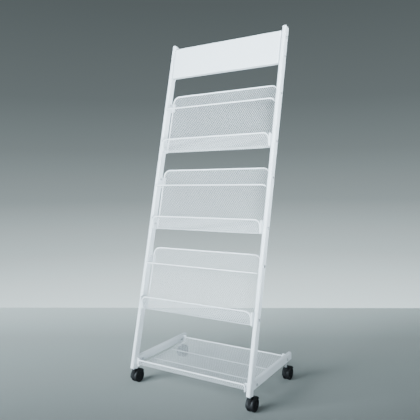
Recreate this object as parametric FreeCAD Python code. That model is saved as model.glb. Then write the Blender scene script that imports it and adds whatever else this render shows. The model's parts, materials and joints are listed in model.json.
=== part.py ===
import FreeCAD, Part
import math
import os

# Free-standing newspaper rack on four swivel casters. Millimetres.
# X runs across the rack to the right, Y from front to back, Z up.
# The origin is on the floor, under the middle of the whole rack.

V = FreeCAD.Vector
X_AXIS = V(1, 0, 0)
Y_AXIS = V(0, 1, 0)
Z_AXIS = V(0, 0, 1)
SIDES = {"left": -1, "right": 1}

# Overall
FRAME_WIDTH = 500.0
OVERALL_DEPTH = 363.0
POST_LENGTH = 1289.0
POST_LEAN = 13.66
FOOT_HEIGHT = 61.0

# Flat-oval steel tube of the posts and the side rails
TUBE_WIDTH = 15.0
TUBE_DEPTH = 30.0
TUBE_CORNER = 5.0
TUBE_WALL = 1.5

# Header sheet, measured along the post from its foot
HEADER_FOOT = 1148.5
HEADER_HEIGHT = 125.5
HEADER_SHEET = 1.2
HEADER_SET_BACK = 1.0
HEADER_GAP = 2.0
HEADER_BOSS_RADIUS = 7.0
HEADER_FOLD = 2.5
HEADER_SIDE_FLANGE = 24.0
HEADER_EDGE_FLANGE = 14.0
HEADER_BOLTS = (1178.0, 1250.0)

# Three shelves. Heights are counted from each shelf's lower bolt, depths from the posts' front.
SHELF_NAMES = ("lower", "middle", "top")
FIRST_SHELF = 244.5
SHELF_PITCH = 308.0
SHELF_WIDTH = 462.0
UPPER_BOLT = 177.0
PANEL_DEPTH = 29.0
PANEL_TOP = 215.5
TROUGH_FLOOR = -19.5
LIP_FOOT_DEPTH = 1.0
LIP_TOP_DEPTH = -12.7
LIP_TOP = 24.0
PANEL_CORNER = 25.0
LIP_CORNER = 20.0
BAR_HEIGHTS = {"lower": 152.0, "middle": 146.0, "top": 150.5}
BAR_DEPTH = -12.7
BAR_BEND = 9.0
END_PLATE_THICKNESS = 1.5
END_PLATE_CORNER = 4.0
BRACKET_FOOT = 153.5
BRACKET_TOP = 187.0
BRACKET_FRONT = 7.0

# Expanded-metal sheet and round wire
SHEET_THICKNESS = 1.0
SHEET_BEND = 3.0
WIRE = 5.0
WELD_GAP = 0.1

# Base frame and tray. Heights are counted from the posts' lower front edge, depths from that edge.
RAIL_FOOT = 10.0
RAIL_END = 356.0
RAIL_START = 20.0
TRAY_WIDTH = 452.0
TRAY_FRONT = 18.0
TRAY_FLOOR = 11.5
TRAY_FRONT_TOP = 30.0
TRAY_FOLD = 226.0
TRAY_REAR = 330.0
TRAY_REAR_TOP = 29.0
TRAY_RIM_BEND = 6.0
CROSS_WIRE = 4.0
FRONT_CROSS_WIRE = 110.0
TRAY_WIRE_HEIGHT = 9.0
TRAY_BRACKET_FOOT = 12.0
TRAY_BRACKET_TOP = 36.0
TRAY_BRACKET_ARMS = (42.0, 30.0)
TRAY_BOLT_DEPTHS = (54.0, 316.0)
TRAY_BOLT_HEIGHT = 23.0

# Angle brackets
BRACKET_THICKNESS = 1.5
BRACKET_TAB = 14.0
BRACKET_CORNER = 3.0
BRACKET_HOLE = 4.5

# Button-head screws and their nuts
BOLT = 5.0
BOLT_HOLE = 5.4
BOLT_HEAD = 9.5
BOLT_HEAD_HEIGHT = 2.7
BOLT_SOCKET = 3.0
BOLT_SOCKET_DEPTH = 1.5
BOLT_TIP = 1.5
NUT_ACROSS_FLATS = 8.0
NUT_HEIGHT = 4.0

# Caps and plugs
CAP_DOME = 3.5
PLUG_CLEARANCE = 0.05
PLUG_LENGTH = 20.0
FOOT_PLUG_LENGTH = 40.0

# Twin-wheel casters. The wheels trail behind the swivel axis.
FRONT_AXIS = 14.6
REAR_AXIS = 318.0
TRAIL = 21.0
WHEEL_RADIUS = 24.0
WHEEL_WIDTH = 10.5
WHEEL_GAP = 5.0
WHEEL_EDGE = 2.0
HUB_RADIUS = 7.0
DISH_RADIUS = 17.5
DISH_DEPTH = 1.5
CUP_DEPTH = 5.5
CUP_RADIUS = 20.0
HOOD_OUTER = 27.5
HOOD_INNER = 25.3
HOOD_WIDTH = 27.0
HOOD_FRONT_ANGLE = 188.0
HOOD_REAR_ANGLE = 30.0
WEB_THICKNESS = 4.6
WEB_RADIUS = 21.5
BOSS_RADIUS = 7.0
BOSS_FOOT = 27.0
BOSS_TOP = 53.5
STEM = 8.0
STEM_FOOT = 44.8
FRONT_STEM_GRIP = 22.0
REAR_STEM_GRIP = 8.0
STEM_TIP = 1.5
COLLAR_RADIUS = 5.5
COLLAR_HEIGHT = 1.2
COLLAR_CLEARANCE = 0.4
AXLE = 6.0
AXLE_LENGTH = 22.0
RUNNING_CLEARANCE = 0.05
SOCKET_FLANGE_RADIUS = 7.0
SOCKET_FLANGE_HEIGHT = 6.0
SOCKET_RADIUS = 5.5
SOCKET_DEPTH = 9.0

# Worked out from the dimensions above
FRONT_Y = -OVERALL_DEPTH / 2
POST_X = (FRAME_WIDTH - TUBE_WIDTH) / 2
INNER_X = FRAME_WIDTH / 2 - TUBE_WIDTH
SHELF_X = SHELF_WIDTH / 2 - WIRE / 2
TRAY_X = TRAY_WIDTH / 2 - WIRE / 2
MID_DEPTH = TUBE_DEPTH / 2
THROUGH = 200.0


def lean(shape):
    """Tip a shape drawn upright at the origin into the frame of the leaning posts."""
    placed = shape.copy()
    placed.rotate(V(0, 0, 0), X_AXIS, -POST_LEAN)
    placed.translate(V(0, FRONT_Y, FOOT_HEIGHT))
    return placed


def at_base(shape):
    """Move a shape drawn from the posts' lower front edge to its place above the floor."""
    placed = shape.copy()
    placed.translate(V(0, FRONT_Y, FOOT_HEIGHT))
    return placed


def mirrored(shape, side):
    """A right-hand shape as it is, or its mirror image for the left."""
    if side > 0:
        return shape
    return shape.mirror(V(0, 0, 0), X_AXIS)


def flat_oval(length, width=TUBE_WIDTH, depth=TUBE_DEPTH, corner=TUBE_CORNER):
    """Upright bar of rounded rectangular section, its front face at y = 0."""
    bar = Part.makeBox(width, depth, length, V(-width / 2, 0, 0))
    upright = [e for e in bar.Edges if abs(e.Vertexes[0].Z - e.Vertexes[-1].Z) > length / 2]
    return bar.makeFillet(corner, upright)


def tube(length):
    """Hollow flat-oval tube."""
    bore = flat_oval(length, TUBE_WIDTH - 2 * TUBE_WALL, TUBE_DEPTH - 2 * TUBE_WALL, TUBE_CORNER - TUBE_WALL)
    bore.translate(V(0, TUBE_WALL, 0))
    return flat_oval(length).cut(bore)


def tube_filler(length):
    """Solid bar that slides into the tube's bore."""
    play = TUBE_WALL + PLUG_CLEARANCE
    filler = flat_oval(length, TUBE_WIDTH - 2 * play, TUBE_DEPTH - 2 * play, TUBE_CORNER - play)
    filler.translate(V(0, play, 0))
    return filler


def domed_cap():
    """Cap for an upright tube end at z = 0: a low dome over a plug."""
    dome = flat_oval(CAP_DOME)
    rim = [e for e in dome.Edges if min(v.Z for v in e.Vertexes) > CAP_DOME / 2]
    dome = dome.makeFillet(CAP_DOME - 0.5, rim)
    plug = tube_filler(PLUG_LENGTH)
    plug.translate(V(0, 0, -PLUG_LENGTH))
    return dome.fuse(plug)


def cross_hole(x, y, z, diameter):
    """Hole along X through a tube that stands at x."""
    return Part.makeCylinder(diameter / 2, 2 * TUBE_WIDTH, V(x - TUBE_WIDTH, y, z), X_AXIS)


def shelf_heights():
    """Height along the post of each shelf's lower bolt."""
    return [FIRST_SHELF + SHELF_PITCH * number for number in range(len(SHELF_NAMES))]


def post_bolt_heights():
    """Every bolt height along a post."""
    heights = list(HEADER_BOLTS)
    for foot in shelf_heights():
        heights += [foot, foot + UPPER_BOLT]
    return heights


def post(side):
    """Leaning post tube, drilled for its bolts."""
    body = tube(POST_LENGTH)
    for height in post_bolt_heights():
        body = body.cut(cross_hole(0, MID_DEPTH, height, BOLT_HOLE))
    body.translate(V(side * POST_X, 0, 0))
    return lean(body)


def post_cap(side):
    """Domed cap in the top of a post."""
    cap = domed_cap()
    cap.translate(V(side * POST_X, 0, POST_LENGTH))
    return lean(cap)


def foot_plug(side):
    """Plug in the foot of a post, bored upright for the caster's stem."""
    plug = tube_filler(FOOT_PLUG_LENGTH)
    plug.translate(V(side * POST_X, 0, 0))
    bore_radius = STEM / 2 + PLUG_CLEARANCE
    foot = V(side * POST_X, FRONT_Y + FRONT_AXIS, STEM_FOOT)
    bore = Part.makeCylinder(bore_radius, front_stem_top() - STEM_FOOT + 1, foot)
    return lean(plug).cut(bore)


def front_stem_top():
    """Height of the top of a front caster's stem."""
    foot_plane = FOOT_HEIGHT - FRONT_AXIS * math.tan(math.radians(POST_LEAN))
    return foot_plane + FRONT_STEM_GRIP


def rear_stem_top():
    """Height of the top of a rear caster's stem."""
    return FOOT_HEIGHT + RAIL_FOOT + REAR_STEM_GRIP


def bolt(length):
    """Button-head screw along -X, the seat of its head at x = 0, its shank length long."""
    head = Part.makeCylinder(BOLT_HEAD / 2, BOLT_HEAD_HEIGHT, V(0, 0, 0), X_AXIS)
    crown = [e for e in head.Edges if min(v.X for v in e.Vertexes) > BOLT_HEAD_HEIGHT / 2]
    head = head.makeFillet(BOLT_HEAD_HEIGHT * 0.75, crown)
    socket = hexagon(BOLT_SOCKET, BOLT_SOCKET_DEPTH)
    socket.translate(V(BOLT_HEAD_HEIGHT - BOLT_SOCKET_DEPTH, 0, 0))
    shank = Part.makeCylinder(BOLT / 2, length, V(-length, 0, 0), X_AXIS)
    return head.fuse(shank).cut(socket)


def hexagon(across_flats, length):
    """Hexagonal bar along X."""
    radius = across_flats / math.sqrt(3)
    corners = [V(0, radius * math.cos(k * math.pi / 3), radius * math.sin(k * math.pi / 3)) for k in range(7)]
    return Part.Face(Part.makePolygon(corners)).extrude(V(length, 0, 0))


def nut():
    """Nut along X, its seat at x = 0 and its body towards -X."""
    body = hexagon(NUT_ACROSS_FLATS, NUT_HEIGHT)
    bore = Part.makeCylinder(BOLT / 2 + RUNNING_CLEARANCE, NUT_HEIGHT, V(0, 0, 0), X_AXIS)
    body = body.cut(bore)
    body.translate(V(-NUT_HEIGHT, 0, 0))
    return body


def screw_set(side, y, z, plate):
    """Screw and nut that clamp a plate to a tube's inner face."""
    grip = TUBE_WIDTH + plate
    screw = bolt(grip + NUT_HEIGHT + BOLT_TIP)
    screw.translate(V(FRAME_WIDTH / 2, y, z))
    ring = nut()
    ring.translate(V(FRAME_WIDTH / 2 - grip, y, z))
    return [mirrored(screw, side), mirrored(ring, side)]


def header_panel():
    """Folded header sheet with a flange on every edge. Bosses at its screws bear on the posts."""
    half = INNER_X - HEADER_GAP
    blank = Part.makeBox(2 * half, HEADER_SIDE_FLANGE, HEADER_HEIGHT, V(-half, HEADER_SET_BACK, HEADER_FOOT))
    front = [e for e in blank.Edges if max(v.Y for v in e.Vertexes) < HEADER_SET_BACK + 0.01]
    blank = blank.makeFillet(HEADER_FOLD, front)
    inside = half - HEADER_SHEET
    hollow = Part.makeBox(
        2 * inside,
        HEADER_SIDE_FLANGE,
        HEADER_HEIGHT - 2 * HEADER_SHEET,
        V(-inside, HEADER_SET_BACK + HEADER_SHEET, HEADER_FOOT + HEADER_SHEET),
    )
    front = [e for e in hollow.Edges if max(v.Y for v in e.Vertexes) < HEADER_SET_BACK + HEADER_SHEET + 0.01]
    hollow = hollow.makeFillet(HEADER_FOLD - HEADER_SHEET, front)
    trim = Part.makeBox(
        2 * inside,
        HEADER_SIDE_FLANGE,
        THROUGH,
        V(-inside, HEADER_SET_BACK + HEADER_EDGE_FLANGE, HEADER_FOOT - THROUGH / 4),
    )
    panel = blank.cut(hollow).cut(trim)
    for side in SIDES.values():
        for height in HEADER_BOLTS:
            boss = Part.makeCylinder(HEADER_BOSS_RADIUS, HEADER_GAP, V(half, MID_DEPTH, height), X_AXIS)
            panel = panel.fuse(mirrored(boss, side))
            panel = panel.cut(cross_hole(side * INNER_X, MID_DEPTH, height, BOLT_HOLE))
    return lean(panel)


def header_bolts():
    """The header's four screws and nuts."""
    pieces = []
    for side in SIDES.values():
        for height in HEADER_BOLTS:
            pieces += screw_set(side, MID_DEPTH, height, HEADER_GAP + HEADER_SHEET)
    return lean(Part.makeCompound(pieces))


def turned_left(direction):
    """A direction in the YZ plane turned by a quarter turn."""
    return V(0, -direction.z, direction.y)


def unit(vector):
    """Copy of a vector with length one."""
    return vector * (1 / vector.Length)


def folded_sheet(points, width):
    """Sheet folded along X: its mid-line is a polyline of (y, z) points with rounded bends."""
    line = [V(0, y, z) for y, z in points]
    half = SHEET_THICKNESS / 2
    edges = []
    for offset in (half, -half):
        run = []
        start = line[0] + turned_left(unit(line[1] - line[0])) * offset
        for before, corner, after in zip(line, line[1:], line[2:]):
            into = unit(corner - before)
            out = unit(after - corner)
            turn = math.atan2(into.y * out.z - into.z * out.y, into.dot(out))
            reach = SHEET_BEND * math.tan(abs(turn) / 2)
            centre = corner - into * reach + turned_left(into) * math.copysign(SHEET_BEND, turn)
            radius = abs(math.copysign(SHEET_BEND, turn) - offset)
            first = corner - into * reach + turned_left(into) * offset
            last = corner + out * reach + turned_left(out) * offset
            middle = centre + unit(corner - centre) * radius
            run.append(Part.LineSegment(start, first).toShape())
            run.append(Part.Arc(first, middle, last).toShape())
            start = last
        end = line[-1] + turned_left(unit(line[-1] - line[-2])) * offset
        run.append(Part.LineSegment(start, end).toShape())
        edges.append(run)
    left, right = edges
    close_far = Part.LineSegment(left[-1].Vertexes[-1].Point, right[-1].Vertexes[-1].Point).toShape()
    close_near = Part.LineSegment(right[0].Vertexes[0].Point, left[0].Vertexes[0].Point).toShape()
    outline = Part.Wire(Part.__sortEdges__(left + [close_far] + right + [close_near]))
    sheet = Part.Face(outline).extrude(V(width, 0, 0))
    sheet.translate(V(-width / 2, 0, 0))
    return sheet


def bent_wire(points, bend, diameter=WIRE):
    """Round wire along a polyline of points with rounded corners."""
    line = [V(*point) for point in points]
    edges = []
    start = line[0]
    for before, corner, after in zip(line, line[1:], line[2:]):
        into = unit(corner - before)
        out = unit(after - corner)
        half_turn = into.getAngle(out) / 2
        reach = bend * math.tan(half_turn)
        first = corner - into * reach
        last = corner + out * reach
        centre = corner + unit(out - into) * (bend / math.cos(half_turn))
        middle = centre + unit(corner - centre) * bend
        edges.append(Part.LineSegment(start, first).toShape())
        edges.append(Part.Arc(first, middle, last).toShape())
        start = last
    edges.append(Part.LineSegment(start, line[-1]).toShape())
    path = Part.Wire(edges)
    section = Part.Wire(Part.makeCircle(diameter / 2, line[0], unit(line[1] - line[0])))
    return path.makePipeShell([section], True, False)


def corner_waste(corner, x, y, z, tilt):
    """What a rounded right-hand top corner at (x, y, z) loses from a sheet tilted about X."""
    block = Part.makeBox(corner, 4 * WIRE, corner, V(-corner, -2 * WIRE, -corner))
    round_off = Part.makeCylinder(corner, 4 * WIRE, V(-corner, -2 * WIRE, -corner), Y_AXIS)
    waste = block.cut(round_off)
    waste.rotate(V(0, 0, 0), X_AXIS, tilt)
    waste.translate(V(x, y, z))
    return waste


def lip_tilt():
    """Angle of a lip from the post's direction, positive towards the front."""
    return math.degrees(math.atan2(LIP_FOOT_DEPTH - LIP_TOP_DEPTH, LIP_TOP - TROUGH_FLOOR))


def shelf_mesh(foot):
    """Back panel, trough floor and front lip of a shelf, folded from one expanded-metal sheet."""
    inset = WIRE / 2 + WELD_GAP
    tilt = math.radians(lip_tilt())
    profile = [
        (PANEL_DEPTH, PANEL_TOP - inset),
        (PANEL_DEPTH, TROUGH_FLOOR),
        (LIP_FOOT_DEPTH, TROUGH_FLOOR),
        (LIP_TOP_DEPTH + inset * math.sin(tilt), LIP_TOP - inset * math.cos(tilt)),
    ]
    edge_x = SHELF_X - inset
    sheet = folded_sheet(profile, 2 * edge_x)
    panel_waste = corner_waste(PANEL_CORNER - inset, edge_x, PANEL_DEPTH, PANEL_TOP - inset, 0)
    lip_waste = corner_waste(LIP_CORNER - inset, edge_x, profile[3][0], profile[3][1], lip_tilt())
    for side in SIDES.values():
        sheet = sheet.cut(mirrored(panel_waste, side)).cut(mirrored(lip_waste, side))
    sheet.translate(V(0, 0, foot))
    return lean(sheet)


def shelf_back_rim(foot):
    """Wire round the sides and top of a shelf's back panel."""
    low = foot + TROUGH_FLOOR
    high = foot + PANEL_TOP
    points = [
        (-SHELF_X, PANEL_DEPTH, low),
        (-SHELF_X, PANEL_DEPTH, high),
        (SHELF_X, PANEL_DEPTH, high),
        (SHELF_X, PANEL_DEPTH, low),
    ]
    return lean(bent_wire(points, PANEL_CORNER))


def shelf_lip_rim(foot):
    """Wire round the sides and top of a shelf's front lip."""
    low = foot + TROUGH_FLOOR
    high = foot + LIP_TOP
    points = [
        (-SHELF_X, LIP_FOOT_DEPTH, low),
        (-SHELF_X, LIP_TOP_DEPTH, high),
        (SHELF_X, LIP_TOP_DEPTH, high),
        (SHELF_X, LIP_FOOT_DEPTH, low),
    ]
    return lean(bent_wire(points, LIP_CORNER))


def retaining_bar(height):
    """Bar in front of a shelf's panel, its ends bent back to the rim wire."""
    weld = PANEL_DEPTH - WIRE / 2
    points = [
        (-SHELF_X, weld, height),
        (-SHELF_X, BAR_DEPTH, height),
        (SHELF_X, BAR_DEPTH, height),
        (SHELF_X, weld, height),
    ]
    return lean(bent_wire(points, BAR_BEND))


def plate(outline, thickness, corner):
    """Flat plate in the YZ plane with rounded corners, from x = 0 towards -X."""
    corners = [V(0, y, z) for y, z in outline]
    blank = Part.Face(Part.makePolygon(corners + corners[:1])).extrude(V(-thickness, 0, 0))
    across = [e for e in blank.Edges if abs(e.Vertexes[0].X - e.Vertexes[-1].X) > thickness / 2]
    return blank.makeFillet(corner, across)


def end_plate_blank(inset, thickness):
    """Outline of a trough's end, drawn in by inset on all sides but the top."""
    reach = WIRE / 2 - inset
    outline = [
        (PANEL_DEPTH + reach, TROUGH_FLOOR - reach),
        (PANEL_DEPTH + reach, LIP_TOP + 2 * inset),
        (LIP_TOP_DEPTH - reach, LIP_TOP + 2 * inset),
        (LIP_FOOT_DEPTH - reach, TROUGH_FLOOR - reach),
    ]
    return plate(outline, thickness, END_PLATE_CORNER - inset)


def shelf_end_plates(foot):
    """Shallow pans that close the ends of a trough and bolt to the posts."""
    shape = end_plate_blank(0, INNER_X - SHELF_WIDTH / 2)
    hollow = end_plate_blank(END_PLATE_THICKNESS, INNER_X)
    hollow.translate(V(-END_PLATE_THICKNESS, 0, 0))
    shape = shape.cut(hollow)
    shape.translate(V(INNER_X, 0, foot))
    shape = shape.cut(cross_hole(INNER_X, MID_DEPTH, foot, BOLT_HOLE))
    return lean(Part.makeCompound([mirrored(shape, side) for side in SIDES.values()]))


def angle_bracket(arm, tab, height):
    """Right-hand angle bracket: an arm forward along the tube's inner face, a tab across its rear end."""
    wall = plate([(0, 0), (-arm, 0), (-arm, height), (0, height)], BRACKET_THICKNESS, BRACKET_CORNER / 2)
    tab_plate = Part.makeBox(tab, BRACKET_THICKNESS, height, V(-tab, -BRACKET_THICKNESS, 0))
    corners = [e for e in tab_plate.Edges if is_far_corner(e, tab)]
    tab_plate = tab_plate.makeFillet(BRACKET_CORNER, corners)
    square = Part.makeBox(BRACKET_THICKNESS, BRACKET_CORNER, height, V(-BRACKET_THICKNESS, -BRACKET_CORNER, 0))
    return wall.fuse(square).fuse(tab_plate).removeSplitter()


def is_far_corner(edge, tab):
    """True for an edge through the plate at the tab's far end."""
    first = edge.Vertexes[0]
    last = edge.Vertexes[-1]
    return abs(first.Y - last.Y) > BRACKET_THICKNESS / 2 and first.X < -tab / 2


def corner_brackets(foot):
    """The pair of brackets that hold a shelf's panel to the posts."""
    rear = PANEL_DEPTH + WIRE / 2 + BRACKET_THICKNESS
    height = BRACKET_TOP - BRACKET_FOOT
    shape = angle_bracket(rear - BRACKET_FRONT, BRACKET_TAB, height)
    shape.translate(V(INNER_X, rear, foot + BRACKET_FOOT))
    shape = shape.cut(cross_hole(INNER_X, MID_DEPTH, foot + UPPER_BOLT, BOLT_HOLE))
    hole_x = INNER_X - BRACKET_TAB + BRACKET_HOLE
    hole = Part.makeCylinder(BRACKET_HOLE / 2, THROUGH, V(hole_x, 0, foot + BRACKET_FOOT + height / 2), Y_AXIS)
    shape = shape.cut(hole)
    return lean(Part.makeCompound([mirrored(shape, side) for side in SIDES.values()]))


def shelf_bolts(foot):
    """A shelf's four screws and nuts."""
    pieces = []
    for side in SIDES.values():
        pieces += screw_set(side, MID_DEPTH, foot, END_PLATE_THICKNESS)
        pieces += screw_set(side, MID_DEPTH, foot + UPPER_BOLT, BRACKET_THICKNESS)
    return lean(Part.makeCompound(pieces))


def side_rail(side):
    """Level rail from the back of a post to the rear caster, welded to the post."""
    length = RAIL_END - RAIL_START
    body = tube(length)
    body.rotate(V(0, 0, 0), X_AXIS, -90)
    body.translate(V(side * POST_X, RAIL_START, RAIL_FOOT + TUBE_DEPTH))
    for depth in TRAY_BOLT_DEPTHS:
        body = body.cut(cross_hole(side * POST_X, depth, TRAY_BOLT_HEIGHT, BOLT_HOLE))
    hole_radius = SOCKET_RADIUS + PLUG_CLEARANCE
    body = body.cut(Part.makeCylinder(hole_radius, TUBE_DEPTH / 2, V(side * POST_X, REAR_AXIS, 0)))
    envelope = flat_oval(THROUGH)
    envelope.translate(V(side * POST_X, 0, 0))
    return at_base(body).cut(lean(envelope))


def rail_end_caps():
    """Caps in the rear ends of the side rails."""
    pieces = []
    for side in SIDES.values():
        cap = domed_cap()
        cap.rotate(V(0, 0, 0), X_AXIS, -90)
        cap.translate(V(side * POST_X, RAIL_END, RAIL_FOOT + TUBE_DEPTH))
        pieces.append(cap)
    return at_base(Part.makeCompound(pieces))


def rear_caster_sockets():
    """Flanged insert nuts under the rails that hold the rear casters' stems."""
    pieces = []
    for side in SIDES.values():
        flange_foot = V(side * POST_X, REAR_AXIS, RAIL_FOOT - SOCKET_FLANGE_HEIGHT)
        flange = Part.makeCylinder(SOCKET_FLANGE_RADIUS, SOCKET_FLANGE_HEIGHT, flange_foot)
        sleeve = Part.makeCylinder(SOCKET_RADIUS, SOCKET_FLANGE_HEIGHT + SOCKET_DEPTH, flange_foot)
        bore = Part.makeCylinder(STEM / 2 + PLUG_CLEARANCE, THROUGH, flange_foot)
        pieces.append(flange.fuse(sleeve).cut(bore))
    return at_base(Part.makeCompound(pieces))


def tray_mesh():
    """Low front, flat floor and rising rear of the tray, folded from one expanded-metal sheet."""
    inset = WIRE / 2 + WELD_GAP
    slope = math.atan2(TRAY_REAR_TOP - TRAY_FLOOR, TRAY_REAR - TRAY_FOLD)
    profile = [
        (TRAY_FRONT, TRAY_FRONT_TOP - inset),
        (TRAY_FRONT, TRAY_FLOOR),
        (TRAY_FOLD, TRAY_FLOOR),
        (TRAY_REAR - inset * math.cos(slope), TRAY_REAR_TOP - inset * math.sin(slope)),
    ]
    edge_x = TRAY_X - inset
    sheet = folded_sheet(profile, 2 * edge_x)
    waste = corner_waste(TRAY_RIM_BEND - inset, edge_x, TRAY_FRONT, TRAY_FRONT_TOP - inset, 0)
    for side in SIDES.values():
        sheet = sheet.cut(mirrored(waste, side))
    return at_base(sheet)


def tray_rim(depth, top):
    """Wire along the top of the tray's front or rear, its ends bent down to the side wires."""
    low = TRAY_WIRE_HEIGHT + WIRE / 2
    points = [(-TRAY_X, depth, low), (-TRAY_X, depth, top), (TRAY_X, depth, top), (TRAY_X, depth, low)]
    return at_base(bent_wire(points, TRAY_RIM_BEND))


def tray_side_wires():
    """Straight wires along the two sides of the tray."""
    length = TRAY_REAR - TRAY_FRONT + WIRE
    start = TRAY_FRONT - WIRE / 2
    pieces = []
    for side in SIDES.values():
        pieces.append(Part.makeCylinder(WIRE / 2, length, V(side * TRAY_X, start, TRAY_WIRE_HEIGHT), Y_AXIS))
    return at_base(Part.makeCompound(pieces))


def tray_cross_wires():
    """Wires under the tray's floor, between the side wires."""
    height = TRAY_FLOOR - SHEET_THICKNESS / 2 - CROSS_WIRE / 2
    reach = TRAY_X - WIRE / 2
    pieces = []
    for depth in (FRONT_CROSS_WIRE, TRAY_FOLD):
        pieces.append(Part.makeCylinder(CROSS_WIRE / 2, 2 * reach, V(-reach, depth, height), X_AXIS))
    return at_base(Part.makeCompound(pieces))


def tray_corner_brackets():
    """Four angle brackets that hang the tray's rims between the side rails."""
    height = TRAY_BRACKET_TOP - TRAY_BRACKET_FOOT
    front_arm, rear_arm = TRAY_BRACKET_ARMS
    front = angle_bracket(front_arm, BRACKET_TAB, height).mirror(V(0, 0, 0), Y_AXIS)
    front.translate(V(INNER_X, TRAY_FRONT + WIRE / 2, TRAY_BRACKET_FOOT))
    rear = angle_bracket(rear_arm, BRACKET_TAB, height)
    rear.translate(V(INNER_X, TRAY_REAR + WIRE / 2 + BRACKET_THICKNESS, TRAY_BRACKET_FOOT))
    hole_x = INNER_X - BRACKET_TAB + BRACKET_HOLE
    tab_hole = Part.makeCylinder(BRACKET_HOLE / 2, 2 * THROUGH, V(hole_x, 0, TRAY_BOLT_HEIGHT), Y_AXIS)
    pieces = []
    for bracket, depth in zip((front, rear), TRAY_BOLT_DEPTHS):
        drilled = bracket.cut(cross_hole(INNER_X, depth, TRAY_BOLT_HEIGHT, BOLT_HOLE)).cut(tab_hole)
        pieces += [mirrored(drilled, side) for side in SIDES.values()]
    return at_base(Part.makeCompound(pieces))


def tray_bolts():
    """The tray's four screws and nuts."""
    pieces = []
    for side in SIDES.values():
        for depth in TRAY_BOLT_DEPTHS:
            pieces += screw_set(side, depth, TRAY_BOLT_HEIGHT, BRACKET_THICKNESS)
    return at_base(Part.makeCompound(pieces))


def along_x(radius, length, x=None):
    """Cylinder along X about the caster's axle, centred unless its start x is given."""
    start = -length / 2 if x is None else x
    return Part.makeCylinder(radius, length, V(start, TRAIL, WHEEL_RADIUS), X_AXIS)


def hood_sector():
    """Wedge about the axle that spans the hood's arc."""
    reach = 3 * HOOD_OUTER
    steps = 6
    spread = HOOD_FRONT_ANGLE - HOOD_REAR_ANGLE
    corners = [V(-HOOD_WIDTH, TRAIL, WHEEL_RADIUS)]
    for step in range(steps + 1):
        angle = math.radians(HOOD_REAR_ANGLE + spread * step / steps)
        corners.append(V(-HOOD_WIDTH, TRAIL + reach * math.cos(angle), WHEEL_RADIUS + reach * math.sin(angle)))
    return Part.Face(Part.makePolygon(corners + corners[:1])).extrude(V(2 * HOOD_WIDTH, 0, 0))


def caster_hood():
    """Swivelling body of a caster: a hood over the treads, a web between the wheels and the stem's boss."""
    sector = hood_sector()
    arc = along_x(HOOD_OUTER, HOOD_WIDTH).cut(along_x(HOOD_INNER, 2 * HOOD_WIDTH)).common(sector)
    spine = along_x((HOOD_OUTER + HOOD_INNER) / 2, WEB_THICKNESS).common(sector)
    web = along_x(WEB_RADIUS, WEB_THICKNESS)
    boss = Part.makeCylinder(BOSS_RADIUS, BOSS_TOP - BOSS_FOOT, V(0, 0, BOSS_FOOT))
    rim = [e for e in boss.Edges if min(v.Z for v in e.Vertexes) > BOSS_TOP - 1]
    boss = boss.makeFillet(1.0, rim).cut(along_x(HOOD_INNER, 2 * HOOD_WIDTH))
    body = arc.fuse(spine).fuse(web).fuse(boss).removeSplitter()
    stem_bore = Part.makeCylinder(STEM / 2 + RUNNING_CLEARANCE, THROUGH, V(0, 0, STEM_FOOT - COLLAR_CLEARANCE))
    return body.cut(stem_bore).cut(along_x(AXLE / 2 + RUNNING_CLEARANCE, HOOD_WIDTH))


def caster_stem(top):
    """Steel stem with a collar that rests just above the hood's boss."""
    pin = Part.makeCylinder(STEM / 2, top - STEM_FOOT, V(0, 0, STEM_FOOT))
    tip = [e for e in pin.Edges if min(v.Z for v in e.Vertexes) > top - 1]
    pin = pin.makeChamfer(STEM_TIP, tip)
    collar = Part.makeCylinder(COLLAR_RADIUS, COLLAR_HEIGHT, V(0, 0, BOSS_TOP + COLLAR_CLEARANCE))
    return pin.fuse(collar)


def caster_wheel(side):
    """One wheel: rounded tread, dished outer face, hollow inner face and a blind hub."""
    inner_face = WHEEL_GAP / 2
    wheel = along_x(WHEEL_RADIUS, WHEEL_WIDTH, inner_face)
    wheel = wheel.makeFillet(WHEEL_EDGE, [e for e in wheel.Edges if len(e.Vertexes) == 1])
    outer_face = inner_face + WHEEL_WIDTH
    dish = along_x(DISH_RADIUS, DISH_DEPTH, outer_face - DISH_DEPTH)
    dish = dish.cut(along_x(HUB_RADIUS, DISH_DEPTH, outer_face - DISH_DEPTH))
    cup = along_x(CUP_RADIUS, CUP_DEPTH, inner_face).cut(along_x(HUB_RADIUS, CUP_DEPTH, inner_face))
    bore_length = AXLE_LENGTH / 2 - inner_face + COLLAR_CLEARANCE
    bore = along_x(AXLE / 2 + RUNNING_CLEARANCE, bore_length, inner_face)
    return mirrored(wheel.cut(dish).cut(cup).cut(bore), side)


def write(name, shape):
    """Write one node's STEP file."""
    shape.exportStep("parts/" + name + ".step")


def write_shelves():
    """The seven nodes of each shelf."""
    for name, foot in zip(SHELF_NAMES, shelf_heights()):
        write(name + "_shelf_mesh", shelf_mesh(foot))
        write(name + "_shelf_back_rim", shelf_back_rim(foot))
        write(name + "_shelf_lip_rim", shelf_lip_rim(foot))
        write(name + "_retaining_bar", retaining_bar(foot + BAR_HEIGHTS[name]))
        write(name + "_shelf_end_plates", shelf_end_plates(foot))
        write(name + "_corner_brackets", corner_brackets(foot))
        write(name + "_shelf_bolts", shelf_bolts(foot))


def write_casters():
    """The five nodes of each caster."""
    ends = {"front": (FRONT_AXIS, front_stem_top()), "rear": (REAR_AXIS, rear_stem_top())}
    for end, (axis, stem_top) in ends.items():
        for side_name, side in SIDES.items():
            place = V(side * POST_X, FRONT_Y + axis, 0)
            pieces = {
                "stem": caster_stem(stem_top),
                "hood": caster_hood(),
                "axle": along_x(AXLE / 2, AXLE_LENGTH),
                "wheel_left": caster_wheel(-1),
                "wheel_right": caster_wheel(1),
            }
            for piece, shape in pieces.items():
                shape.translate(place)
                write("_".join((end, side_name, "caster", piece)), shape)


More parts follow.
